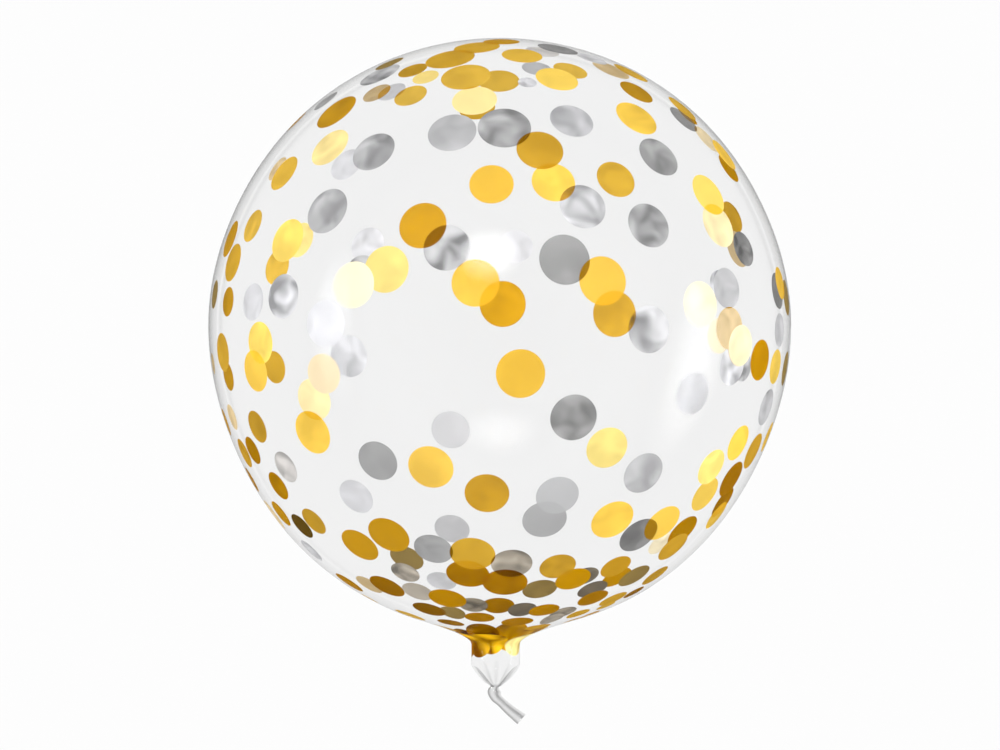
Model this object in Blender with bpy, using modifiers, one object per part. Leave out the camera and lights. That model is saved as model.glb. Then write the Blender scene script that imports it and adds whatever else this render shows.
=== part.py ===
"""Clear bubble balloon: one sealed piece of stretched film, lying on its side.

The film is modelled upright about Z, with the widest ring of the body at z = 0, the crown
above it and the neck below it. It is then laid down: its neck points along -Y, and a small
flat spot under the widest ring touches z = 0 at the origin.
"""

import math

import bmesh
import bpy
from mathutils import Matrix, Vector

MM = 0.001

# Driving dimensions of the round body
BODY_RADIUS = 200 * MM
CROWN_HEIGHT = 197 * MM  # widest ring to the crown
BASE_DEPTH = 210 * MM  # widest ring to the point where the base would close without a neck
SHOULDER_SLIM = 0.008  # share by which the film falls short of an ellipse halfway to each pole
SPOT_RADIUS = 30 * MM  # flat spot that the body lies on

# Driving dimensions of the neck, with depths measured down from the widest ring
FLARE_RADIUS = 61 * MM  # where the base starts to turn into the neck
NECK_RADIUS = 17 * MM
NECK_TOP_DEPTH = 221 * MM
NECK_END_DEPTH = 235.3 * MM
TIE_DEPTH = 251.1 * MM
NECK_SHIFT = -2.9 * MM  # the neck sits a little to one side of the body's axis
FLARE_HANDLES = (13 * MM, 6.5 * MM)  # reach of the flare's curve from the base and from the neck

# The gathered film between the neck and the tie
TIE_HALF_WIDTH = 2.6 * MM
GATHER_POWERS = (1.45, 0.72)  # how late the film starts to close, and how blunt the bag is
GATHER_FOLDS = ((5, 0.10, 0.4), (8, 0.06, 1.9))  # folds around, depth as a share, phase in radians

# The strip of film left beyond the tie: side and depth of its middle line, half width, half thickness
TAIL_STATIONS = (
    (0.0 * MM, 251.1 * MM, 2.6 * MM, 2.60 * MM),
    (-0.5 * MM, 254.2 * MM, 4.7 * MM, 1.90 * MM),
    (1.0 * MM, 258.0 * MM, 4.7 * MM, 1.40 * MM),
    (5.4 * MM, 262.6 * MM, 4.3 * MM, 1.15 * MM),
    (10.9 * MM, 268.1 * MM, 4.6 * MM, 0.95 * MM),
    (17.7 * MM, 273.8 * MM, 5.2 * MM, 0.85 * MM),
)
TAIL_PLEATS = 2.5  # lengthwise pleats across the strip
TAIL_PLEAT_DEPTH = 0.6 * MM

# Facets
AROUND = 64
CROWN_RINGS = 16
BASE_RINGS = 14
FLARE_RINGS = 8
NECK_RINGS = 2
GATHER_RINGS = 9
TAIL_RINGS_PER_STATION = 3
WELD = 0.01 * MM

COLLECTION = "clear_bubble_balloon"


def clear_scene():
    for obj in list(bpy.data.objects):
        bpy.data.objects.remove(obj, do_unlink=True)


def new_collection(name):
    collection = bpy.data.collections.new(name)
    bpy.context.scene.collection.children.link(collection)
    return collection


def film_material():
    """Clear plastic film, as plain values on one Principled shader."""
    material = bpy.data.materials.new("clear_film")
    material.use_nodes = True
    shader = material.node_tree.nodes["Principled BSDF"]
    shader.inputs["Base Color"].default_value = (0.94, 0.95, 0.96, 1)
    shader.inputs["Metallic"].default_value = 0.0
    shader.inputs["Roughness"].default_value = 0.04
    shader.inputs["IOR"].default_value = 1.46
    shader.inputs["Transmission Weight"].default_value = 1.0
    return material


def ease(share):
    """A smooth step from 0 to 1."""
    share = min(max(share, 0.0), 1.0)
    return share * share * (3 - 2 * share)


def body_radius(height_share):
    """Radius of the body at a share of the way from the widest ring to a pole."""
    slim = 1 - SHOULDER_SLIM * math.sin(math.pi * height_share) ** 2
    return BODY_RADIUS * math.sqrt(max(1 - height_share**2, 0.0)) * slim


def body_profile():
    """Radius and height of the body, from the crown down to where the flare starts."""
    points = []
    for i in range(CROWN_RINGS):
        share = math.cos(math.pi / 2 * i / CROWN_RINGS)
        points.append((body_radius(share) if i else 0.0, CROWN_HEIGHT * share))
    last_angle = math.acos(FLARE_RADIUS / BODY_RADIUS)
    for i in range(BASE_RINGS + 1):
        share = math.sin(last_angle * i / BASE_RINGS)
        points.append((body_radius(share), -BASE_DEPTH * share))
    return points


def flare_profile(start, before):
    """The cubic curve that carries the base, in its own direction, round into the neck."""
    p0 = Vector(start)
    p1 = p0 + (p0 - Vector(before)).normalized() * FLARE_HANDLES[0]
    p3 = Vector((NECK_RADIUS, -NECK_TOP_DEPTH))
    p2 = p3 + Vector((0, FLARE_HANDLES[1]))
    points = []
    for i in range(1, FLARE_RINGS + 1):
        t = i / FLARE_RINGS
        blend = ((1 - t) ** 3, 3 * (1 - t) ** 2 * t, 3 * (1 - t) * t**2, t**3)
        points.append(tuple(sum((w * p for w, p in zip(blend, (p0, p1, p2, p3))), Vector((0, 0)))))
    return points


def turned_profile():
    """Radius and height from the crown to the end of the straight neck."""
    points = body_profile()
    points += flare_profile(points[-1], points[-2])
    for i in range(1, NECK_RINGS + 1):
        depth = NECK_TOP_DEPTH + (NECK_END_DEPTH - NECK_TOP_DEPTH) * i / NECK_RINGS
        points.append((NECK_RADIUS, -depth))
    return points


def turned_film(collection):
    """The body and neck as a mesh turned about Z, open at the end of the neck."""
    points = turned_profile()
    mesh = bpy.data.meshes.new("profile")
    mesh.from_pydata([(r, 0, z) for r, z in points], [(i, i + 1) for i in range(len(points) - 1)], [])
    profile = bpy.data.objects.new("profile", mesh)
    collection.objects.link(profile)
    screw = profile.modifiers.new("turn", "SCREW")
    screw.axis = "Z"
    screw.steps = AROUND
    screw.render_steps = AROUND
    screw.use_merge_vertices = True
    screw.merge_threshold = WELD
    evaluated = profile.evaluated_get(bpy.context.evaluated_depsgraph_get())
    turned = bpy.data.meshes.new_from_object(evaluated)
    bpy.data.objects.remove(profile, do_unlink=True)
    return turned


def gather_rings():
    """Rings that close the neck like a bag, in growing folds, down to the tie."""
    rings = []
    for i in range(1, GATHER_RINGS + 1):
        share = math.sin(math.pi / 2 * i / (GATHER_RINGS + 1))
        closing = (1 - share ** GATHER_POWERS[0]) ** GATHER_POWERS[1]
        radius = TIE_HALF_WIDTH + (NECK_RADIUS - TIE_HALF_WIDTH) * closing
        depth = NECK_END_DEPTH + (TIE_DEPTH - NECK_END_DEPTH) * share
        side = TAIL_STATIONS[0][0] * share
        ring = []
        for j in range(AROUND):
            angle = 2 * math.pi * j / AROUND
            fold = sum(d * share * math.cos(n * angle + p) for n, d, p in GATHER_FOLDS)
            reach = radius * (1 + fold)
            ring.append(Vector((side + reach * math.cos(angle), reach * math.sin(angle), -depth)))
        rings.append(ring)
    return rings


def between_stations(position):
    """The tail's station at a whole or part position along the list, on a smooth curve."""
    index = min(int(position), len(TAIL_STATIONS) - 2)
    t = position - index
    before = TAIL_STATIONS[max(index - 1, 0)]
    start = TAIL_STATIONS[index]
    end = TAIL_STATIONS[index + 1]
    after = TAIL_STATIONS[min(index + 2, len(TAIL_STATIONS) - 1)]
    values = []
    for a, b, c, d in zip(before, start, end, after):
        slope = (c - a) / 2
        end_slope = (d - b) / 2
        values.append(
            b * (2 * t**3 - 3 * t**2 + 1)
            + slope * (t**3 - 2 * t**2 + t)
            + c * (3 * t**2 - 2 * t**3)
            + end_slope * (t**3 - t**2)
        )
    return values


def tail_rings():
    """Rings of the flattened, pleated strip that curls away beyond the tie."""
    rings = []
    spans = len(TAIL_STATIONS) - 1
    count = spans * TAIL_RINGS_PER_STATION
    nudge = 0.02
    for i in range(count + 1):
        position = spans * i / count
        side, depth, half_width, half_thick = between_stations(position)
        behind = between_stations(max(position - nudge, 0))
        ahead = between_stations(min(position + nudge, spans))
        run = Vector((ahead[0] - behind[0], 0, behind[1] - ahead[1])).normalized()
        across = Vector((-run.z, 0, run.x))
        pleat_depth = TAIL_PLEAT_DEPTH * ease(position / 2)
        ring = []
        for j in range(AROUND):
            angle = 2 * math.pi * j / AROUND
            pleat = pleat_depth * math.sin(TAIL_PLEATS * math.pi * math.cos(angle))
            ring.append(
                Vector((side, 0, -depth))
                + across * half_width * math.cos(angle)
                + Vector((0, half_thick * math.sin(angle) + pleat, 0))
            )
        rings.append(ring)
    return rings


def close_neck(mesh):
    """Carries the open rim of the neck on through the gather, the tie and the tail."""
    bm = bmesh.new()
    bm.from_mesh(mesh)
    bmesh.ops.remove_doubles(bm, verts=bm.verts, dist=WELD)
    rim = {v for e in bm.edges if e.is_boundary for v in e.verts}
    last = sorted(rim, key=lambda v: math.atan2(v.co.y, v.co.x) % (2 * math.pi - WELD))
    for places in gather_rings() + tail_rings():
        ring = [bm.verts.new(place) for place in places]
        for j in range(AROUND):
            k = (j + 1) % AROUND
            bm.faces.new((last[j], ring[j], ring[k], last[k]))
        last = ring
    bm.faces.new(last)
    for vert in bm.verts:
        reach = (-vert.co.z - BASE_DEPTH * 0.85) / (NECK_TOP_DEPTH - BASE_DEPTH * 0.85)
        vert.co.x += NECK_SHIFT * ease(reach)
    bmesh.ops.recalc_face_normals(bm, faces=bm.faces)
    bm.to_mesh(mesh)
    bm.free()


def spot_cutter(collection, sink):
    """A block under the floor that trims the body to its flat spot."""
    bm = bmesh.new()
    bmesh.ops.create_cube(bm, size=1)
    size = 4 * SPOT_RADIUS
    block = Matrix.Translation((0, 0, -2 * sink)) @ Matrix.Diagonal((size, size, 4 * sink, 1))
    bmesh.ops.transform(bm, matrix=block, verts=bm.verts)
    mesh = bpy.data.meshes.new("spot_cutter")
    bm.to_mesh(mesh)
    bm.free()
    cutter = bpy.data.objects.new("spot_cutter", mesh)
    cutter.hide_render = True
    cutter.display_type = "WIRE"
    collection.objects.link(cutter)
    return cutter


def build_balloon():
    parts = new_collection(COLLECTION)
    cutters = new_collection("cutters")
    mesh = turned_film(parts)
    mesh.name = "balloon"
    close_neck(mesh)
    mesh.shade_smooth()
    mesh.materials.clear()
    mesh.materials.append(film_material())

    sink = BODY_RADIUS - math.sqrt(BODY_RADIUS**2 - SPOT_RADIUS**2)
    balloon = bpy.data.objects.new("balloon", mesh)
    balloon.rotation_euler = (math.radians(-90), 0, 0)
    balloon.location = (0, 0, BODY_RADIUS - sink)
    parts.objects.link(balloon)

    trim = balloon.modifiers.new("flat_spot", "BOOLEAN")
    trim.operation = "DIFFERENCE"
    trim.object = spot_cutter(cutters, sink)


clear_scene()
build_balloon()
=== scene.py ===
"""Looks of the clear bubble balloon: thin clear film with gold and silver foil dots on its inside.

The film is worked out upright about Z, with the widest ring of the body at z = 0 and the neck
below it, then laid down as the CAD balloon lies: neck along -Y, flat spot on the floor.
"""

import bisect
import math
import random

import bpy
from mathutils import Matrix, Quaternion, Vector


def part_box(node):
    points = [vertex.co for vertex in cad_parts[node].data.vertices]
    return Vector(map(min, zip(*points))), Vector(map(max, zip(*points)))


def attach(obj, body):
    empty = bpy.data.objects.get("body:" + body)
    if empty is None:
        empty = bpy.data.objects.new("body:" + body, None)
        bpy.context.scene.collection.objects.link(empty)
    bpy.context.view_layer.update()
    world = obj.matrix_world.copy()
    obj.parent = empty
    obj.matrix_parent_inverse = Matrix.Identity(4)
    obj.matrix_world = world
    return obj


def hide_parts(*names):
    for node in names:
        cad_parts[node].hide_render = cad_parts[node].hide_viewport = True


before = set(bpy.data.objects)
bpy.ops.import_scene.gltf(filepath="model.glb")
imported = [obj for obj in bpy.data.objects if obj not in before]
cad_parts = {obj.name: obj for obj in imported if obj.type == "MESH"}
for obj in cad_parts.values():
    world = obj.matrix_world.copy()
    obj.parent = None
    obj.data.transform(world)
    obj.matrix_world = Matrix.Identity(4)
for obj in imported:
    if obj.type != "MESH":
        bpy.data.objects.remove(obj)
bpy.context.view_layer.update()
BOX_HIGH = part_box("balloon")[1]

MM = 0.001

# Driving dimensions of the round body, as the CAD balloon has them
BODY_RADIUS = BOX_HIGH[0]
CROWN_HEIGHT = BOX_HIGH[1]
AXIS_HEIGHT = BOX_HIGH[2] - BODY_RADIUS  # of the body's axis above the floor
BASE_DEPTH = 210 * MM
SHOULDER_SLIM = 0.008  # share by which the film falls short of an ellipse halfway to each pole
FLARE_RADIUS = 61 * MM  # where the base starts to turn into the neck

# Driving dimensions of the neck, with depths measured down from the widest ring
NECK_RADIUS = 17 * MM
NECK_TOP_DEPTH = 221 * MM
NECK_END_DEPTH = 235.3 * MM
TIE_DEPTH = 251.1 * MM
NECK_SHIFT = -2.9 * MM  # the neck sits a little to one side of the body's axis
SHIFT_START = 0.85 * BASE_DEPTH
FLARE_HANDLES = (13 * MM, 6.5 * MM)  # reach of the flare's curve from the base and from the neck

# The gathered film and the strip left beyond the tie
TIE_HALF_WIDTH = 2.2 * MM
GATHER_POWERS = (1.25, 0.75)  # how late the film starts to close, and how blunt the bag is
# Each crease: degrees round the neck, as for the dots, and how deep it is beside the deepest
CREASES = (
    (-150, 0.5),
    (-105, 0.4),
    (-62, 1.0),
    (-20, 0.3),
    (28, 0.4),
    (60, 1.0),
    (100, 0.4),
    (140, 0.5),
    (178, 0.4),
)
CREASE_WIDTHS = (6, 18)  # half width in degrees where the gathering starts and at the tie
CREASE_DEPTH = 0.45  # of the deepest crease, as a share of the radius there
TIE_GREY = 0.9  # share of the gathering from which the film is all painted crease shade
# side, depth, half width, half thickness, and how many degrees the strip has turned about its
# length
TAIL_STATIONS = (
    (0.0 * MM, 251.1 * MM, 2.2 * MM, 2.20 * MM, 0),
    (-0.9 * MM, 254.2 * MM, 4.7 * MM, 1.30 * MM, 8),
    (0.2 * MM, 258.2 * MM, 4.3 * MM, 1.00 * MM, 18),
    (3.9 * MM, 261.9 * MM, 4.1 * MM, 0.90 * MM, 28),
    (9.9 * MM, 267.4 * MM, 4.3 * MM, 0.80 * MM, 22),
    (18.0 * MM, 273.8 * MM, 4.7 * MM, 0.75 * MM, 10),
)
TAIL_STEP = 0.02  # of a station's span, either way, over which the tail's direction is taken
TAIL_PLEATS = 2.0  # lengthwise pleats across the strip
TAIL_PLEAT_DEPTH = 0.4 * MM
PLEATS_FULL = 2  # station at which the pleats have their whole depth
TAIL_CREASES = 0.75  # painted dark crease lines to a half width of the tail
TAIL_LEAN = -0.32  # how far they are off its middle, beside its half width
TAIL_GREY = 0.2  # painted crease shade on the tail between them

# The film's mesh
FILM_THICKNESS = 0.12 * MM
FLOOR_GAP = 0.2 * MM  # the film stays this far above the ground, and the floor as far below it
AROUND = 192
CROWN_RINGS = 48
BASE_RINGS = 44
FLARE_RINGS = 16
NECK_RINGS = 6
GATHER_RINGS = 20
TAIL_RINGS_PER_STATION = 8

# The foil dots
DOT_DIAMETER = 28 * MM
DOT_SPREAD = (0.98, 1.02)  # least and most share of that diameter, where none is given
DOT_SEED = 7
FLAT_SEEDS = (0, 100)  # range of the places in the noise that the dots' crinkles come from
DOT_STEPS = 6  # rings from a dot's middle to its edge
DOT_AROUND = 48
DOT_INSET = 0.10 * MM  # from the film's inner face to the first dot
DOT_LAYERS = 5  # depths that dots lie at, so that none meets a neighbour it overlaps
# How crinkled a dot is, in bumps and in painted dark and light patches, from 0 to 1, drawn by
# chance where none is given
CRINKLES_AND_SHEEN = {"gold": (0.06, 0.12, 0.18, 0.25), "silver": (0.15, 0.5, 0.8, 1.0)}
# the neck's dots get the strongest painted dark and light bands
NECK_CRINKLE_AND_SHEEN = 1.0
NECK_LINE = -82  # dots below this many degrees are wrapped round the neck
MOST_COVERS = 3  # neighbours that may overlap a dot
OUT_OF_REACH = (9, 9, 9)  # a place beside no neighbour: over 1 of its radii away
NO_OVERLAP_SHADE = (1, 1, 1)
OVERLAP_SHADES = {  # painted see-through shade: a dot's colour is multiplied by this where the other kind lies over or under it
    ("gold", "gold"): (0.97, 0.84, 0.3),
    ("gold", "silver"): (0.36, 0.28, 0.05),
    ("silver", "gold"): (0.80, 0.42, 0.02),
    ("silver", "silver"): (0.92, 0.92, 0.92),
}
# The tones are painted light: pale where a dot mirrors a glare, deep where it mirrors the dimmer
# room, tan where the film's sheen veils it.
SHADES = {  # each foil's colours by tone: deep to pale up to 1, then tans, browns and others
    "gold": (
        (0.0, (0.10, 0.055, 0.003)),
        (0.1, (0.20, 0.087, 0.0)),
        (0.2, (0.31, 0.135, 0.0)),
        (0.3, (0.50, 0.25, 0.0)),
        (0.4, (0.53, 0.305, 0.026)),
        (0.5, (0.65, 0.40, 0.045)),
        (0.6, (0.77, 0.50, 0.08)),
        (0.7, (0.92, 0.61, 0.09)),
        (0.8, (0.95, 0.71, 0.16)),
        (0.9, (0.96, 0.79, 0.36)),
        (1.0, (0.97, 0.88, 0.66)),
        (1.1, (0.78, 0.62, 0.38)),
        (1.2, (0.56, 0.43, 0.25)),
        (1.25, (0.27, 0.19, 0.065)),
        (1.3, (0.74, 0.43, 0.01)),
        (1.4, (1.0, 0.88, 0.42)),
        (1.5, (0.75, 0.61, 0.20)),
    ),
    "silver": (
        (0.0, (0.09, 0.085, 0.08)),
        (0.4, (0.33, 0.33, 0.33)),
        (0.7, (0.48, 0.48, 0.49)),
        (1.0, (0.80, 0.80, 0.83)),
        (1.2, (0.45, 0.40, 0.33)),
        (1.3, (0.25, 0.21, 0.15)),
        (1.4, (0.13, 0.10, 0.06)),
    ),
}
PALE = 0.9  # from this tone up a dot gets no painted see-through shade where a neighbour overlaps it
FOIL_FOLD_HEIGHT = 1.2 * MM
FOIL_FOLD_SCALE = 0.9  # folds of the noise to a dot's radius
FOIL_FOLD_TWIST = 0.5
FOIL_FOLD_RANGE = (0.3, 0.7)  # of the noise, from the darkest painted patch to the lightest
FOILS = {
    "gold": {
        "roughness": 0.5,
        "metallic": 0.25,
        "specular": 0.0,
        "dark": (0.22, 0.12, 0.0),  # painted reflection: what a full crinkle multiplies the colour by, at its darkest
        "light": (1.35, 1.35, 1.2),  # and at its lightest, a painted sheen
        "edge_tint": (1.0, 0.7, 0.05),
    },
    "silver": {
        "roughness": 0.5,
        "metallic": 0.2,
        "specular": 0.15,
        "dark": (0.35, 0.35, 0.35),
        "light": (1.35, 1.35, 1.35),
        "edge_tint": (0.9, 0.9, 0.9),
    },
}

# The film's material
FILM_IOR = 1.003  # barely bends light: the ramp below makes the film's edge, not reflection
COAT_WEIGHT = 0.015  # the coat makes the soft glares
COAT_IOR = 3.0
# The film is painted greyer towards its edges, with a painted light line just inside them.
FILM_SHADES = (  # the light that two faces pass, by how far they are turned from the eye
    (0.0, 0.945),
    (0.6, 0.946),
    (0.66, 0.94),
    (0.69, 0.925),
    (0.715, 0.877),
    (0.73, 0.9),
    (0.752, 0.951),
    (0.768, 0.885),
    (0.797, 0.863),
    (0.815, 0.845),
    (0.834, 0.813),
    (0.857, 0.768),
    (0.883, 0.72),
    (0.917, 0.615),
    (1.0, 0.45),
)
FOLD_SHADE = 0.64  # painted crease shade: the light that two faces pass in a full fold
FILM_GRAIN_SCALE = 14.0  # of the faint wrinkles
FILM_GRAIN_STRENGTH = 0.3
FILM_GRAIN_HEIGHT = 0.1 * MM
EDGE_SHADE_RELIEF = (  # degrees along the film as for the dots, and how little its painted edge shade shows there
    (-100, 0.7),
    (-40, 0.65),
    (-20, 0.35),
    (-5, 0.0),
    (40, 0.05),
    (60, 0.35),
    (90, 0.35),
)
DEGREE = math.radians(1) * BODY_RADIUS  # length along the film that the lists below call a degree

# The studio: brightness of the sky by the sine of the height above the horizon, then each soft
# light's azimuth, elevation, half width and half height in degrees, and brightness. The lights
# only show as glares in glossy surfaces: the sky lights the room.
SKY = ((0.0, 0.5), (0.1, 0.5), (0.3, 0.7), (0.55, 1.25), (0.85, 1.1), (0.97, 0.5))
SKY_STRENGTH = 1.19
LIGHT_DISTANCE = 3.0
LIGHT_AROUND = 48
LIGHT_REACH = 2.2  # a light fades to nothing at this many of its half widths
LIGHT_FADE = 4.0
LIGHTS = (
    (98, 63, 7, 6.5, 100.0),
    (178, 27, 16, 6, 42.0),
    (-12, 12, 17, 9, 40.0),
    (270, 52, 9, 5, 30.0),
)
FLOOR_GREY = 0.86
FLOOR_ROUGHNESS = 0.9
FLOOR_HALF = 4.0
CAMERA_LENS = 56.75
CAMERA_PLACE = (0.0002, -0.03365, AXIS_HEIGHT + 1.1)

# Each dot: degrees round the body from the top of the lying balloon, degrees along the film from
# the widest ring towards the crown, tone from 0, deep, to 1, pale, or above for tans and others,
# then its diameter in millimetres where that is far from DOT_DIAMETER, and how crinkled it is from
# 0 to 1, with its painted sheen, where that matters. The tones paint in the light each dot shows:
# pale where it mirrors a glare, deep where it mirrors the dimmer room, tan where the film's sheen
# veils it. The places were measured in the photo, to about half a degree.
GOLD_DOTS = (
    (-17.5, 57.5, 0.44, 32),
    (-10, 64, 0.45, 30),
    (-9.5, 49.5, 0.55, 31),
    (-179.5, 69, 0.55, 31),
    (-6, 42, 0.9),
    (-170, 59, 0.45),
    (-1.5, 23, 0.5, 26),
    (-13.5, 15.5, 0.35, 28.5),
    (-135.5, 61, 0.6, 25.5),
    (-115, 69, 0.4, 22),
    (-131.5, 68, 0.85, 20),
    (-115.5, 59.5, 1.2, 22),
    (-46, 59, 1.25, 20),
    (-45, 42, 0.35, 30),
    (-39, 32.5, 0.9, 28),
    (-51, 28, 0.55, 25),
    (-100, 35, 1.1, 20),
    (-103, 22, 0.6, 25),
    (-42, 14, 0.8),
    (-124.5, 20.5, 0.87, 28),
    (-66.5, 16, 0.35, 25),
    (-60.5, 11, 0.45, 25),
    (-70, 43, 0.3, 18),
    (8, 58.5, 0.55, 26),
    (1, 69, 0.35, 24),
    (95, 66, 1.15),
    (52, 56, 0.5, 25),
    (127, 70.5, 0.6, 25.5),
    (16, 49, 0.75, 27),
    (106, 58.5, 0.35, 26.5),
    (33.5, 39, 0.7, 28.5),
    (8, 30, 0.4),
    (10, 23.5, 0.65, 26),
    (22.5, 24.5, 0.5, 24.5),
    (59, 45, 0.5, 23),
    (91, 48, 0.3, 18),
    (94.5, 42, 1.05, 24),
    (62.5, 33.5, 0.65, 24),
    (95, 34.5, 0.3, 23),
    (45, 23, 0.8, 28),
    (45, 17, 0.95),
    (108.5, 24.5, 0.4, 25),
    (111, 17.5, 1.2, 28),
    (-25.5, 5.5, 0.97),
    (-19.5, 8, 1.5),
    (-119, 14, 0.58),
    (-100, 5.5, 0.35, 21.5),
    (-70, 5.5, 1.25, 19),
    (-47.5, -4, 0.8, 26),
    (-50, -9, 0.65, 26),
    (-120, -8, 0.45, 25),
    (-32, -9.5, 1.07, 24),
    (-35, -14, 0.93, 25.5),
    (-37, -20, 0.65),
    (-107.5, -21, 0.4, 25),
    (-100, -26, 0.25, 21.5),
    (-66.5, -25, 0.38, 20.5),
    (-63.5, -5.5, 0.45, 25),
    (-98.5, -10, 0.35, 21),
    (-73.5, -7.5, 1.2, 14),
    (-75, -19, 0.35, 19),
    (-94, -18.5, 1.1, 19),
    (-13, -26, 0.6, 27.5),
    (-4, 5.5, 0.56),
    (0.5, 2, 0.34, 26.5),
    (3.5, -9.5, 0.5, 28.5),
    (17.5, 6, 0.55, 29),
    (19.5, 0.5, 0.43, 27),
    (37, 2.5, 1.0, 27.5),
    (48, -4.5, 0.97, 25.5),
    (44.5, -1.5, 1.15, 26),
    (122.5, -1, 1.0),
    (55.5, -7, 0.28, 26),
    (96.5, -8, 0.75, 25),
    (73, -8.5, 1.25, 23),
    (67, 7.5, 0.55, 21.5),
    (72, 5, 1.25, 24),
    (74, -22, 0.55, 21.5),
    (64.5, -24.5, 0.4, 25),
    (54.5, -22.5, 0.7, 24),
    (47.5, -27, 0.83, 24.5),
    (20, -22.5, 1.5, 26),
    (-105, -34.5, 0.27, 23),
    (-94, -40.5, 0.32, 21.5),
    (-73.5, -31, 0.25, 19),
    (-73, -39, 1.1, 24),
    (-112, -44, 0.4, 23.5),
    (-103, -44.5, 0.0, 22),
    (-2.5, -31, 0.38, 26.5),
    (-26, -40.5, 0.33, 27.5),
    (-36, -43.5, 0.33, 26.5),
    (-142, -57, 1.25, 27),
    (-6.5, -44.5, 0.45, 28),
    (-8.5, -50, 0.22, 27),
    (-17.5, -58.5, 0.27, 24.5),
    (-37.5, -55.5, 0.17, 24.5),
    (-105.5, -63, 1.2, 22),
    (-59.5, -56.5, 0.25, 21.5),
    (-29, -64, 0.1, 22.5),
    (-137, -78.5, 1.25, 20),
    (-8.5, -67, 0.22, 19.5),
    (179.5, -76.5, 0.22, 24),
    (1.5, -52.5, 0.22, 28),
    (179, -67, 0.35, 25),
    (25, -37, 0.68),
    (39.5, -38.5, 0.65, 27),
    (116, -50.5, 1.0, 22),
    (50, -45, 0.4, 24),
    (109.5, -46.5, 0.27),
    (111, -37, 0.73),
    (58.5, -30, 0.2, 25.5),
    (97, -38, 0.22, 25.5),
    (94.5, -41, 0.62, 23.5),
    (15, -48, 0.4, 23),
    (21, -52, 0.3, 23),
    (32.5, -49, 0.36, 21),
    (121, -62, 0.3, 24),
    (111, -60.5, 1.25, 25.5),
    (95, -58.5, 0.42, 22),
    (17.5, -63.5, 0.25, 20),
    (9.5, -70, 0.22, 21),
    (29, -76, 0.35, 18),
    (34, -59.5, 0.22, 21),
    (97.5, -68, 0.42, 21),
    (89, -64, 0.15, 16),
    (88, -70, 0.5, 14),
    (76, -72.5, 0.3, 12),
    (96, -75.5, 0.42, 17),
    (-27, -72, 0.15, 18.5),
    (-55, -79.5, 0.4, 18),
    (157, -69, 1.25, 26),
    (66, -75.5, 0.3, 19),
    (-67, -63.5, 0.45, 14),
    (-52, -70, 0.45, 22),
    (-93, -87.5, 0.15, 26),
    (-48, -87, 1.3, 26),
    (55, -87, 1.4, 24),
    (-12, -86, 1.3, 27),
    (-150, -87.5, 0.15, 26),
    (150, -87, 0.3, 26),
    (93, -85.5, 0.35, 27),
)
SILVER_DOTS = (
    (-10, 34, 0.65, 29.5, 0.3),
    (1, 35, 0.5, 32, 0.8),
    (-9, 11.5, 0.6, 27.5, 1),
    (-123, 61, 0.8, 22),
    (-41.5, 53.5, 0.6, 28),
    (-26.5, 30.5, 0.6, 28, 0.8),
    (-130, 39.5, 0.9, 28, 0.2),
    (-33.5, 19, 0.6, 29.5, 0.7),
    (-58, 47, 0.35, 19, 0.5),
    (27, 64.5, 0.2, 27, 0.5),
    (85, 70.5, 0.9, 23, 0.5),
    (109, 80, 1.1, 24, 0.3),
    (150, 73.5, 0.7, 22),
    (163.5, 68, 0.95, 14),
    (16, 37, 0.8, 27, 0.6),
    (15, 19, 0.75, 28, 1),
    (27.5, 16, 0.5, 28, 0.9),
    (34.5, 30, 0.4, 28, 0.8),
    (97, 48, 0.3, 25),
    (51.5, 13, 0.2, 22.5),
    (11, 9.5, 0.3, 30, 0.3),
    (176, 21, 0.92, 28, 0.25),
    (-145.5, 20.5, 0.88, 29.5, 0.4),
    (-145, 14, 0.7),
    (-41, 4, 0.87, 27, 0.9),
    (-112, 6, 0.9, 28, 0.4),
    (-31, -1, 0.9, 28, 0.25),
    (-26.5, -6.5, 0.8, 25, 0.5),
    (-113.5, -30.5, 1.1, 25.5, 0.7),
    (-23.5, -25, 0.38, 25.5, 0.15),
    (-167.5, -23, 0.75, 32, 0.12),
    (26, -2, 0.7, 28, 1.1),
    (44, 5.5, 0.7, 25, 0.3),
    (121, 10, 0.95, 24),
    (46, -8, 0.85, 25, 0.7),
    (113, -8, 0.8, 22),
    (95.5, -0.5, 0.85, 24, 0.3),
    (95, 7.5, 0.2, 26, 0.3),
    (78, -3, 1.0, 18, 0.3),
    (97, -16.5, 0.75, 27, 0.5),
    (36.5, -13, 0.8, 26, 0.35),
    (13, -17, 0.3, 28, 0.8),
    (-135.5, -39, 0.88, 30, 0.2),
    (-15.8, -43.5, 0.4, 24.5, 0.3),
    (-164, -49, 0.72, 28, 0.12),
    (-136, -61.5, 1.2, 23),
    (-151, -65.5, 0.8, 23, 0.25),
    (-132, -68.5, 1.2, 25),
    (-62, -47, 0.78, 19, 0.4),
    (-161, -76, 1.3, 22, 1),
    (3, -47, 1.23, 25.5, 0.9),
    (11.5, -31.5, 0.6, 26, 0.06),
    (9.5, -36.5, 0.45, 27, 0.08),
    (29, -27.5, 0.6, 27, 0.4),
    (34, -41, 0.2, 27, 0.6),
    (139, -63, 1.35, 22, 0.5),
    (126, -67, 1.4, 23, 0.5),
    (158, -78, 1.4, 21, 0.8),
    (116, -77, 1.3, 20, 1),
    (111.5, -80, 1.25, 18, 0.5),
    (-172, -89.2, 0.15, 14),
)


def ease(share):
    """A smooth step from 0 to 1."""
    share = min(max(share, 0.0), 1.0)
    return share * share * (3 - 2 * share)


def lay_down(point):
    """A point of the upright film, where it is on the lying balloon."""
    return Vector((point.x, point.z, AXIS_HEIGHT - point.y))


# The film


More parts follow.
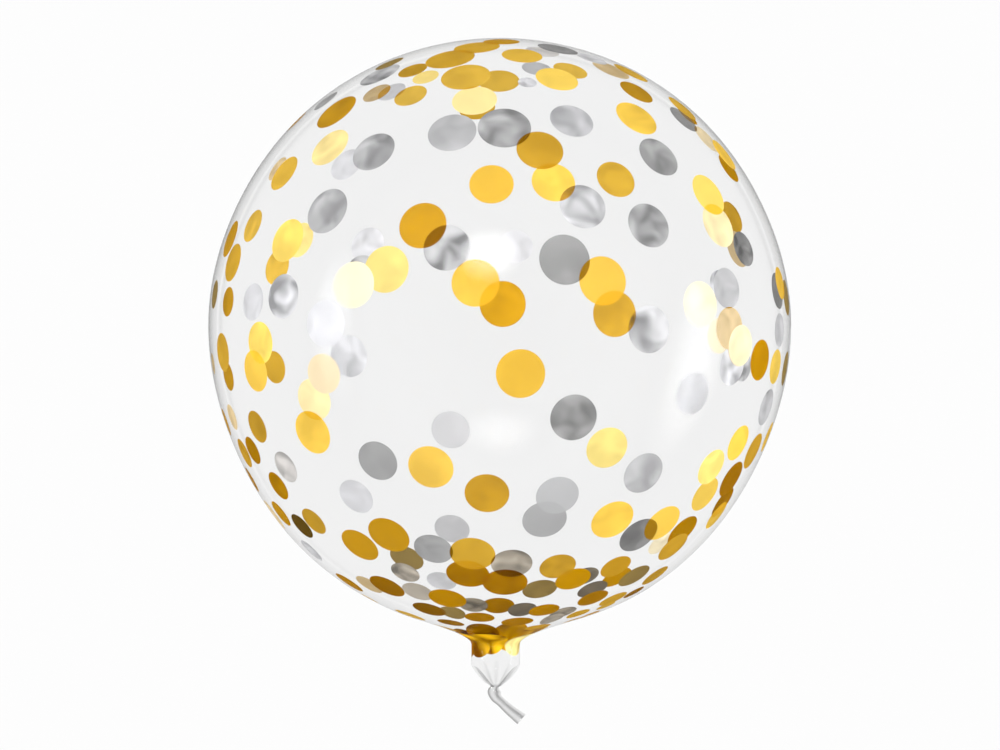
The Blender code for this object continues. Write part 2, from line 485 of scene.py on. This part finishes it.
def body_radius(height_share):
    """Radius of the body at a share of the way from the widest ring to a pole."""
    slim = 1 - SHOULDER_SLIM * math.sin(math.pi * height_share) ** 2
    return BODY_RADIUS * math.sqrt(max(1 - height_share**2, 0.0)) * slim


def body_profile():
    """Radius and height of the body, from the crown down to where the flare starts."""
    points = []
    for i in range(CROWN_RINGS):
        share = math.cos(math.pi / 2 * i / CROWN_RINGS)
        points.append((body_radius(share) if i else 0.0, CROWN_HEIGHT * share))
    last_angle = math.acos(FLARE_RADIUS / BODY_RADIUS)
    for i in range(BASE_RINGS + 1):
        share = math.sin(last_angle * i / BASE_RINGS)
        points.append((body_radius(share), -BASE_DEPTH * share))
    return points


def flare_profile(start, before):
    """The cubic curve that carries the base, in its own direction, round into the neck."""
    p0 = Vector(start)
    p1 = p0 + (p0 - Vector(before)).normalized() * FLARE_HANDLES[0]
    p3 = Vector((NECK_RADIUS, -NECK_TOP_DEPTH))
    p2 = p3 + Vector((0, FLARE_HANDLES[1]))
    points = []
    for i in range(1, FLARE_RINGS + 1):
        t = i / FLARE_RINGS
        blend = ((1 - t) ** 3, 3 * (1 - t) ** 2 * t, 3 * (1 - t) * t**2, t**3)
        parts = (weight * point for weight, point in zip(blend, (p0, p1, p2, p3)))
        points.append(tuple(sum(parts, Vector((0, 0)))))
    return points


def turned_profile():
    """Radius and height from the crown to the end of the straight neck."""
    points = body_profile()
    points += flare_profile(points[-1], points[-2])
    for i in range(1, NECK_RINGS + 1):
        depth = NECK_TOP_DEPTH + (NECK_END_DEPTH - NECK_TOP_DEPTH) * i / NECK_RINGS
        points.append((NECK_RADIUS, -depth))
    return points


def turned_rings():
    """Rings of the body, flare and neck, all turned about the axis."""
    rings = []
    for radius, height in turned_profile()[1:]:
        ring = []
        for j in range(AROUND):
            angle = 2 * math.pi * j / AROUND
            ring.append(Vector((radius * math.cos(angle), radius * math.sin(angle), height)))
        rings.append(ring)
    return rings


def crease(angle, share):
    """How far into a crease the film is at an angle round the neck, from 0 to 1."""
    turn = math.degrees(angle) + 90
    width = CREASE_WIDTHS[0] + (CREASE_WIDTHS[1] - CREASE_WIDTHS[0]) * share
    away = [abs((turn - middle + 180) % 360 - 180) for middle, depth in CREASES]
    depths = [depth * (1 - far / width) for far, (middle, depth) in zip(away, CREASES)]
    return math.sqrt(share) * max(*depths, 0)


def gather_share(ring):
    """How far down the gathering one of its rings is, from 0 at the neck to 1 at the tie."""
    return math.sin(math.pi / 2 * ring / (GATHER_RINGS + 1))


def gather_rings():
    """Rings that close the neck like a bag, in deepening creases, down to the tie."""
    rings = []
    for i in range(1, GATHER_RINGS + 1):
        share = gather_share(i)
        closing = (1 - share ** GATHER_POWERS[0]) ** GATHER_POWERS[1]
        radius = TIE_HALF_WIDTH + (NECK_RADIUS - TIE_HALF_WIDTH) * closing
        depth = NECK_END_DEPTH + (TIE_DEPTH - NECK_END_DEPTH) * share
        ring = []
        for j in range(AROUND):
            angle = 2 * math.pi * j / AROUND
            reach = radius * (1 - CREASE_DEPTH * crease(angle, share))
            ring.append(Vector((reach * math.cos(angle), reach * math.sin(angle), -depth)))
        rings.append(ring)
    return rings


def between_stations(position):
    """The tail's station at a whole or part position along the list, on a smooth curve."""
    index = min(int(position), len(TAIL_STATIONS) - 2)
    t = position - index
    before = TAIL_STATIONS[max(index - 1, 0)]
    start = TAIL_STATIONS[index]
    end = TAIL_STATIONS[index + 1]
    after = TAIL_STATIONS[min(index + 2, len(TAIL_STATIONS) - 1)]
    values = []
    for a, b, c, d in zip(before, start, end, after):
        slope = (c - a) / 2
        end_slope = (d - b) / 2
        values.append(
            b * (2 * t**3 - 3 * t**2 + 1)
            + slope * (t**3 - 2 * t**2 + t)
            + c * (3 * t**2 - 2 * t**3)
            + end_slope * (t**3 - t**2)
        )
    return values


def tail_rings():
    """Rings of the flattened, pleated strip that twists and curls away beyond the tie."""
    rings = []
    spans = len(TAIL_STATIONS) - 1
    count = spans * TAIL_RINGS_PER_STATION
    for i in range(count + 1):
        position = spans * i / count
        side, depth, half_width, half_thick, twist = between_stations(position)
        behind = between_stations(max(position - TAIL_STEP, 0))
        ahead = between_stations(min(position + TAIL_STEP, spans))
        run = Vector((ahead[0] - behind[0], 0, behind[1] - ahead[1])).normalized()
        turned = Quaternion(run, math.radians(twist))
        across = turned @ Vector((-run.z, 0, run.x))
        through = turned @ Vector((0, 1, 0))
        pleat_depth = TAIL_PLEAT_DEPTH * ease(position / PLEATS_FULL)
        ring = []
        for j in range(AROUND):
            angle = 2 * math.pi * j / AROUND
            pleat = pleat_depth * math.sin(TAIL_PLEATS * math.pi * math.cos(angle))
            ring.append(
                Vector((side, 0, -depth))
                + across * half_width * math.cos(angle)
                + through * (half_thick * math.sin(angle) + pleat)
            )
        rings.append(ring)
    return rings


def neck_shift(height):
    """How far the film has moved to one side at this height."""
    return NECK_SHIFT * ease((-height - SHIFT_START) / (NECK_TOP_DEPTH - SHIFT_START))


def crease_shade_shares():
    """How much painted crease shade each vertex of the film gets, by how far it lies in a fold: 0
    to 1.
    """
    plain = BASE_RINGS + CROWN_RINGS + FLARE_RINGS + NECK_RINGS
    folds = [0.0] * (1 + plain * AROUND)
    for i in range(1, GATHER_RINGS + 1):
        share = gather_share(i)
        tied = ease((share - TIE_GREY) / (1 - TIE_GREY))
        for j in range(AROUND):
            folds.append(max(crease(2 * math.pi * j / AROUND, share), tied))
    count = (len(TAIL_STATIONS) - 1) * TAIL_RINGS_PER_STATION
    for i in range(count + 1):
        for j in range(AROUND):
            across = math.cos(2 * math.pi * j / AROUND)
            turn = 2 * math.pi * TAIL_CREASES * (across - TAIL_LEAN)
            crest = (0.5 - 0.5 * math.cos(turn)) ** 2
            folds.append(TAIL_GREY + (1 - TAIL_GREY) * crest)
    return folds


def edge_shade_relief(rings):
    """How much of the painted edge shade is taken away at each vertex, by how far along the body
    its ring is.
    """
    shares = [EDGE_SHADE_RELIEF[-1][1]]
    along = -MERIDIAN.down[0]
    for before, ring in zip([[Vector((0, 0, CROWN_HEIGHT))] * AROUND, *rings], rings):
        along -= (ring[0] - before[0]).length
        shares += [between(EDGE_SHADE_RELIEF, along / DEGREE)] * AROUND
    return shares


def between(steps, position):
    """The value at a position in a rising list of positions and values."""
    for (low, start), (high, end) in zip(steps, steps[1:]):
        if position <= high:
            return start + (end - start) * max((position - low) / (high - low), 0)
    return steps[-1][1]


def film_faces(ring_count):
    """Faces of a closed tube of rings, whose first vertex is the crown."""
    faces = [(0, 1 + j, 1 + (j + 1) % AROUND) for j in range(AROUND)]
    for i in range(ring_count - 1):
        upper = 1 + i * AROUND
        lower = upper + AROUND
        for j in range(AROUND):
            k = (j + 1) % AROUND
            faces.append((upper + j, lower + j, lower + k, upper + k))
    last = 1 + (ring_count - 1) * AROUND
    faces.append(tuple(last + j for j in range(AROUND)))
    return faces


def new_piece(name, points, faces, material):
    """An object of one smooth mesh and one material, in the scene."""
    mesh = bpy.data.meshes.new(name)
    mesh.from_pydata(points, [], faces)
    mesh.shade_smooth()
    mesh.materials.append(material)
    piece = bpy.data.objects.new(name, mesh)
    bpy.context.scene.collection.objects.link(piece)
    return piece


def make_film():
    """The whole film, from the crown to the tail's end, with a wall of real thickness."""
    rings = turned_rings() + gather_rings() + tail_rings()
    upright = [Vector((0, 0, CROWN_HEIGHT))]
    for ring in rings:
        upright += ring
    points = []
    for point in upright:
        point.x += neck_shift(point.z)
        place = lay_down(point)
        place.z = max(place.z, FLOOR_GAP)
        points.append(place)
    film = new_piece("film", points, film_faces(len(rings)), film_material())
    grain = [Vector((0, 0, 0))]
    for i in range(len(rings)):
        for j in range(AROUND):
            angle = 2 * math.pi * j / AROUND
            grain.append(Vector((math.cos(angle), math.sin(angle), i / len(rings))))
    set_attribute(film, "grain", "FLOAT_VECTOR", grain)
    set_attribute(film, "fold", "FLOAT", crease_shade_shares())
    set_attribute(film, "clear", "FLOAT", edge_shade_relief(rings))
    wall = film.modifiers.new("wall", "SOLIDIFY")
    wall.thickness = FILM_THICKNESS
    wall.offset = -1
    return film


# The dots


class Meridian:
    """The film's profile by the distance along it from the widest ring towards the crown."""

    def __init__(self):
        profile = turned_profile()
        self.radii = [radius for radius, height in profile]
        self.heights = [height for radius, height in profile]
        self.down = [0.0]
        for i in range(1, len(profile)):
            step = math.dist(profile[i], profile[i - 1])
            self.down.append(self.down[-1] + step)
        widest = self.down[CROWN_RINGS]
        self.down = [distance - widest for distance in self.down]

    def at(self, along):
        """Radius, height and the radius's change per metre towards the crown, this far along."""
        down = min(max(-along, self.down[0]), self.down[-1])
        i = min(max(bisect.bisect_right(self.down, down), 1), len(self.down) - 1)
        span = self.down[i] - self.down[i - 1]
        t = (down - self.down[i - 1]) / span
        radius = self.radii[i - 1] + (self.radii[i] - self.radii[i - 1]) * t
        height = self.heights[i - 1] + (self.heights[i] - self.heights[i - 1]) * t
        change = (self.radii[i - 1] - self.radii[i]) / span
        return radius, height, change

    def place(self, along, turn, inset):
        """The point this far along and turned this far round from the top, inset from the film."""
        radius, height, change = self.at(along)
        rise = math.sqrt(max(1 - change**2, 0))
        radius -= inset * rise
        height += inset * change
        upright = Vector((radius * math.sin(turn), -radius * math.cos(turn), height))
        upright.x += neck_shift(height)
        return lay_down(upright)


MERIDIAN = Meridian()


def dot_points(meridian, along, turn, radius, inset):
    """The points of one disc that lies on the film: its middle, then rings out to its edge."""
    points = [meridian.place(along, turn, inset)]
    walks = [[along, turn, 2 * math.pi * j / DOT_AROUND] for j in range(DOT_AROUND)]
    step = radius / DOT_STEPS
    for i in range(DOT_STEPS):
        for walk in walks:
            film_radius, height, change = meridian.at(walk[0])
            walk[0] += step * math.cos(walk[2])
            walk[1] += step * math.sin(walk[2]) / max(film_radius, MM)
            walk[2] += step * math.sin(walk[2]) * change / max(film_radius, MM)
            points.append(meridian.place(walk[0], walk[1], inset))
    return points


def flat_points(turn, seed):
    """The same points on the flat disc, turned round, in its radii, with a seed for z."""
    points = [Vector((0, 0, seed))]
    for i in range(DOT_STEPS):
        reach = (i + 1) / DOT_STEPS
        for j in range(DOT_AROUND):
            angle = turn + 2 * math.pi * j / DOT_AROUND
            points.append(Vector((reach * math.cos(angle), reach * math.sin(angle), seed)))
    return points


def dot_faces(start):
    """Faces of one disc whose points start at this index."""
    faces = []
    for j in range(DOT_AROUND):
        k = (j + 1) % DOT_AROUND
        faces.append((start, start + 1 + j, start + 1 + k))
        for i in range(DOT_STEPS - 1):
            inner = start + 1 + i * DOT_AROUND
            outer = inner + DOT_AROUND
            faces.append((inner + j, outer + j, outer + k, inner + k))
    return faces


class Dot:
    """One foil disc: its points, its colour with painted light, and how much it is crinkled."""

    def __init__(self, foil, place, before, chance):
        turn, along, tone = place[:3]
        turn = math.radians(turn)
        along *= DEGREE
        self.foil = foil
        self.tone = tone
        # the tone's colour, with this dot's painted glare and shade in it
        self.colour = foil_colour(foil, tone)
        if len(place) > 3:
            diameter = place[3] * MM
        else:
            diameter = DOT_DIAMETER * chance.uniform(*DOT_SPREAD)
        self.radius = diameter / 2
        self.crinkle_and_sheen = chance.choice(CRINKLES_AND_SHEEN[foil])
        if along < NECK_LINE * DEGREE:
            self.crinkle_and_sheen = NECK_CRINKLE_AND_SHEEN
        if len(place) > 4:
            self.crinkle_and_sheen = place[4]
        self.flat = flat_points(chance.uniform(0, 2 * math.pi), chance.uniform(*FLAT_SEEDS))
        self.middle = MERIDIAN.place(along, turn, FILM_THICKNESS)
        taken = {dot.layer for dot in before if dot.covers(self)}
        self.layer = min(set(range(DOT_LAYERS)) - taken, default=DOT_LAYERS)
        inset = FILM_THICKNESS + DOT_INSET * (1 + self.layer)
        self.points = dot_points(MERIDIAN, along, turn, self.radius, inset)

    def covers(self, other):
        """Whether the two discs overlap."""
        return (self.middle - other.middle).length < self.radius + other.radius


def foil_colour(foil, tone):
    """The foil's colour with painted light at a tone, between the two nearest of its shades."""
    return between([(step, Vector(colour)) for step, colour in SHADES[foil]], tone)


def all_dots():
    """Every dot of both foils. Those earlier in the lists lie nearer the film."""
    chance = random.Random(DOT_SEED)
    dots = []
    for foil, places in (("gold", GOLD_DOTS), ("silver", SILVER_DOTS)):
        for place in places:
            dots.append(Dot(foil, place, dots, chance))
    return dots


def make_dots(name, foil, dots, material):
    """One piece of all a foil's dots, with each dot's painted colour, neighbours and painted
    overlap shades as attributes.
    """
    points = []
    faces = []
    colours = []
    crinkles_and_sheen = []
    flats = []
    covers = [[] for i in range(MOST_COVERS)]
    overlap_shades = [[] for i in range(MOST_COVERS)]
    for dot in (d for d in dots if d.foil == foil):
        faces += dot_faces(len(points))
        points += dot.points
        colours += [dot.colour] * len(dot.points)
        crinkles_and_sheen += [dot.crinkle_and_sheen] * len(dot.points)
        flats += dot.flat
        near = [d for d in dots if d is not dot and d.covers(dot)][:MOST_COVERS]
        for i in range(MOST_COVERS):
            other = near[i] if i < len(near) else None
            for point in dot.points:
                across = (point - other.middle) / other.radius if other else Vector(OUT_OF_REACH)
                covers[i].append(across)
            # painted see-through shade where this neighbour overlaps the dot, as light through two
            # foils
            overlap_shade = OVERLAP_SHADES[foil, other.foil] if other and dot.tone < PALE else NO_OVERLAP_SHADE
            overlap_shades[i] += [overlap_shade] * len(dot.points)
    piece = new_piece(name, points, faces, material)
    set_attribute(piece, "crinkle_and_sheen", "FLOAT", crinkles_and_sheen)
    set_attribute(piece, "foil", "FLOAT_VECTOR", colours)
    set_attribute(piece, "flat", "FLOAT_VECTOR", flats)
    for i in range(MOST_COVERS):
        set_attribute(piece, f"across_{i}", "FLOAT_VECTOR", covers[i])
        set_attribute(piece, f"tint_{i}", "FLOAT_VECTOR", overlap_shades[i])
    return piece


def set_attribute(piece, name, kind, values):
    """Store one value or vector for each vertex of a piece."""
    attribute = piece.data.attributes.new(name, kind, "POINT")
    if kind == "FLOAT":
        attribute.data.foreach_set("value", values)
    else:
        attribute.data.foreach_set("vector", [number for value in values for number in value])


# Materials


def new_material(name):
    """A material with nodes, and its nodes and links."""
    material = bpy.data.materials.new(name)
    material.use_nodes = True
    return material, material.node_tree.nodes, material.node_tree.links


def add(nodes, kind, **settings):
    """A new node with its settings; a setting named in_3 fills input 3."""
    node = nodes.new(kind)
    for key, value in settings.items():
        if key.startswith("in_"):
            node.inputs[int(key[3:])].default_value = value
        else:
            setattr(node, key, value)
    return node


def add_ramp(nodes, steps):
    """A colour ramp of greys, from positions and levels."""
    ramp = add(nodes, "ShaderNodeValToRGB")
    elements = ramp.color_ramp.elements
    while len(elements) < len(steps):
        elements.new(0.5)
    for element, (position, level) in zip(elements, steps):
        element.position = position
        element.color = grey(level)
    return ramp


def grey(level):
    return (level, level, level, 1)


def film_material():
    """Thin clear film: painted shade where it is seen edge on and in its folds, with faint
    wrinkles along the body.
    """
    material, nodes, links = new_material("clear_film")
    shader = nodes["Principled BSDF"]
    shader.inputs["Roughness"].default_value = 0.0
    shader.inputs["IOR"].default_value = FILM_IOR
    shader.inputs["Transmission Weight"].default_value = 1.0
    shader.inputs["Coat Weight"].default_value = COAT_WEIGHT
    shader.inputs["Coat IOR"].default_value = COAT_IOR
    shader.inputs["Coat Roughness"].default_value = 0.0

    # Painted edge shade: greyer as the film turns edge on, less where the 'clear' attribute is
    # high
    edge = add(nodes, "ShaderNodeLayerWeight", in_0=0.5)
    shade = add_ramp(nodes, FILM_SHADES)
    links.new(edge.outputs["Facing"], shade.inputs["Fac"])
    clear = add(nodes, "ShaderNodeAttribute", attribute_name="clear")
    cleared = add(nodes, "ShaderNodeMixRGB", blend_type="MIX")
    cleared.inputs["Color2"].default_value = grey(FILM_SHADES[0][1])
    links.new(clear.outputs["Fac"], cleared.inputs["Fac"])
    links.new(shade.outputs["Color"], cleared.inputs["Color1"])
    # Painted crease shade: greyer in the neck's folds, at the tie and along the tail
    fold = add(nodes, "ShaderNodeAttribute", attribute_name="fold")
    folded = add(nodes, "ShaderNodeMixRGB", blend_type="MIX")
    folded.inputs["Color1"].default_value = grey(1)
    folded.inputs["Color2"].default_value = grey(FOLD_SHADE)
    links.new(fold.outputs["Fac"], folded.inputs["Fac"])
    both = add(nodes, "ShaderNodeMixRGB", blend_type="MULTIPLY", in_0=1.0)
    links.new(cleared.outputs["Color"], both.inputs["Color1"])
    links.new(folded.outputs["Color"], both.inputs["Color2"])
    links.new(both.outputs["Color"], shader.inputs["Base Color"])

    grain = add(nodes, "ShaderNodeAttribute", attribute_name="grain")
    wrinkles = add(nodes, "ShaderNodeTexNoise", in_2=FILM_GRAIN_SCALE, in_3=1.0)
    bump = add(nodes, "ShaderNodeBump", in_0=FILM_GRAIN_STRENGTH)
    bump.inputs["Distance"].default_value = FILM_GRAIN_HEIGHT
    links.new(grain.outputs["Vector"], wrinkles.inputs["Vector"])
    links.new(wrinkles.outputs["Fac"], bump.inputs["Height"])
    links.new(bump.outputs["Normal"], shader.inputs["Normal"])
    return material


def foil_material(name, foil):
    """Satin foil: each dot's colour with painted light, painted see-through shade where a
    neighbour overlaps it, and soft folds in bumps and in painted dark and light patches.
    """
    material, nodes, links = new_material(name)
    shader = nodes["Principled BSDF"]
    shader.inputs["Metallic"].default_value = foil["metallic"]
    shader.inputs["Roughness"].default_value = foil["roughness"]
    shader.inputs["Specular IOR Level"].default_value = foil["specular"]
    shader.inputs["Specular Tint"].default_value = (*foil["edge_tint"], 1)
    colour = add(nodes, "ShaderNodeAttribute", attribute_name="foil").outputs["Vector"]
    # Painted see-through shade: the colour is multiplied where a neighbour overlaps the dot
    for i in range(MOST_COVERS):
        across = add(nodes, "ShaderNodeAttribute", attribute_name=f"across_{i}")
        reach = add(nodes, "ShaderNodeVectorMath", operation="LENGTH")
        inside = add(nodes, "ShaderNodeMath", operation="LESS_THAN", in_1=1.0)
        overlap_shade = add(nodes, "ShaderNodeAttribute", attribute_name=f"tint_{i}")
        both = add(nodes, "ShaderNodeMixRGB", blend_type="MULTIPLY")
        links.new(across.outputs["Vector"], reach.inputs[0])
        links.new(reach.outputs["Value"], inside.inputs[0])
        links.new(inside.outputs[0], both.inputs["Fac"])
        links.new(colour, both.inputs["Color1"])
        links.new(overlap_shade.outputs["Vector"], both.inputs["Color2"])
        colour = both.outputs["Color"]

    crinkle_and_sheen = add(nodes, "ShaderNodeAttribute", attribute_name="crinkle_and_sheen").outputs["Fac"]
    flat = add(nodes, "ShaderNodeAttribute", attribute_name="flat")
    folds = add(nodes, "ShaderNodeTexNoise", in_2=FOIL_FOLD_SCALE, in_3=1.0)
    folds.inputs["Distortion"].default_value = FOIL_FOLD_TWIST
    links.new(flat.outputs["Vector"], folds.inputs["Vector"])
    low, high = FOIL_FOLD_RANGE
    height = add(nodes, "ShaderNodeMapRange", in_1=low, in_2=high)
    links.new(folds.outputs["Fac"], height.inputs[0])
    # Painted reflection: the folds darken and lighten the colour as far as the dot is crinkled
    shade = add(nodes, "ShaderNodeMixRGB", blend_type="MIX")
    shade.inputs["Color1"].default_value = (*foil["dark"], 1)
    shade.inputs["Color2"].default_value = (*foil["light"], 1)
    links.new(height.outputs[0], shade.inputs["Fac"])
    painted_sheen = add(nodes, "ShaderNodeMixRGB", blend_type="MULTIPLY")
    links.new(crinkle_and_sheen, painted_sheen.inputs["Fac"])
    links.new(colour, painted_sheen.inputs["Color1"])
    links.new(shade.outputs[0], painted_sheen.inputs["Color2"])
    links.new(painted_sheen.outputs["Color"], shader.inputs["Base Color"])

    bump = add(nodes, "ShaderNodeBump")
    bump.inputs["Distance"].default_value = FOIL_FOLD_HEIGHT
    links.new(crinkle_and_sheen, bump.inputs["Strength"])
    links.new(folds.outputs["Fac"], bump.inputs["Height"])
    links.new(bump.outputs["Normal"], shader.inputs["Normal"])
    return material


# The stage


def make_floor():
    """A plain pale floor."""
    material, nodes, links = new_material("floor")
    shader = nodes["Principled BSDF"]
    shader.inputs["Base Color"].default_value = grey(FLOOR_GREY)
    shader.inputs["Roughness"].default_value = FLOOR_ROUGHNESS
    shader.inputs["Specular IOR Level"].default_value = 0.0
    signs = ((-1, -1), (1, -1), (1, 1), (-1, 1))
    corners = [Vector((x * FLOOR_HALF, y * FLOOR_HALF, 0)) for x, y in signs]
    floor = new_piece("floor", corners, [(0, 1, 2, 3)], material)
    floor.location.z = -FLOOR_GAP


def direction(azimuth, elevation):
    """The way from the balloon towards a light: azimuth from +X towards +Y, both in degrees."""
    turn = math.radians(azimuth)
    rise = math.radians(elevation)
    level = math.cos(rise)
    return Vector((level * math.cos(turn), level * math.sin(turn), math.sin(rise)))


def light_material(brightness):
    """A light that is brightest in its middle and fades towards its rim."""
    material, nodes, links = new_material("light")
    nodes.remove(nodes["Principled BSDF"])
    place = add(nodes, "ShaderNodeTexCoord")
    square = add(nodes, "ShaderNodeVectorMath", operation="DOT_PRODUCT")
    links.new(place.outputs["Object"], square.inputs[0])
    links.new(place.outputs["Object"], square.inputs[1])
    left = add(nodes, "ShaderNodeMath", operation="SUBTRACT", in_0=1.0, use_clamp=True)
    links.new(square.outputs["Value"], left.inputs[1])
    fade = add(nodes, "ShaderNodeMath", operation="POWER", in_1=LIGHT_FADE)
    links.new(left.outputs[0], fade.inputs[0])
    level = add(nodes, "ShaderNodeMath", operation="MULTIPLY", in_1=brightness)
    links.new(fade.outputs[0], level.inputs[0])
    glow = add(nodes, "ShaderNodeEmission")
    links.new(level.outputs[0], glow.inputs["Strength"])
    links.new(glow.outputs[0], nodes["Material Output"].inputs["Surface"])
    return material


def make_light(azimuth, elevation, width, height, brightness):
    """A soft light that shows only in glossy surfaces, facing the balloon."""
    points = []
    for i in range(LIGHT_AROUND):
        angle = 2 * math.pi * i / LIGHT_AROUND
        points.append(Vector((math.cos(angle), math.sin(angle), 0)))
    disc = [tuple(range(LIGHT_AROUND))]
    light = new_piece("light", points, disc, light_material(brightness))
    middle = direction(azimuth, elevation)
    turn = math.radians(azimuth)
    side = Vector((-math.sin(turn), math.cos(turn), 0))
    light.rotation_euler = Matrix((side, middle.cross(side), middle)).transposed().to_euler()
    light.location = middle * LIGHT_DISTANCE + Vector((0, 0, AXIS_HEIGHT))
    reach = LIGHT_REACH * LIGHT_DISTANCE
    half_width = reach * math.tan(math.radians(width))
    half_height = reach * math.tan(math.radians(height))
    light.scale = (half_width, half_height, 1)
    light.visible_camera = False
    light.visible_diffuse = False
    light.visible_transmission = False
    light.visible_shadow = False


def make_world():
    """A pale studio, dimmer low down and straight above."""
    world = bpy.data.worlds.new("studio")
    world.use_nodes = True
    nodes = world.node_tree.nodes
    links = world.node_tree.links
    background = nodes["Background"]
    sight = add(nodes, "ShaderNodeTexCoord").outputs["Generated"]
    split = add(nodes, "ShaderNodeSeparateXYZ")
    links.new(sight, split.inputs[0])
    ramp = add_ramp(nodes, SKY)
    links.new(split.outputs["Z"], ramp.inputs["Fac"])
    links.new(ramp.outputs["Color"], background.inputs["Color"])
    background.inputs["Strength"].default_value = SKY_STRENGTH
    bpy.context.scene.world = world


def make_camera():
    """The camera, which looks straight down on the lying balloon."""
    camera = bpy.data.cameras.new("camera")
    camera.lens = CAMERA_LENS
    view = bpy.data.objects.new("camera", camera)
    view.location = CAMERA_PLACE
    bpy.context.scene.collection.objects.link(view)
    bpy.context.scene.camera = view


def soften(piece):
    """Keep a piece from shading the ground and the other pieces."""
    piece.visible_shadow = False
    piece.visible_diffuse = False


make_floor()
make_world()
for light in LIGHTS:
    make_light(*light)
make_camera()
bpy.context.scene.view_settings.view_transform = "Standard"

film = make_film()
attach(film, "root")
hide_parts("balloon")
soften(film)

dots = all_dots()
for foil, looks in FOILS.items():
    piece = make_dots(f"{foil}_dots", foil, dots, foil_material(f"{foil}_foil", looks))
    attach(piece, "root")
    soften(piece)
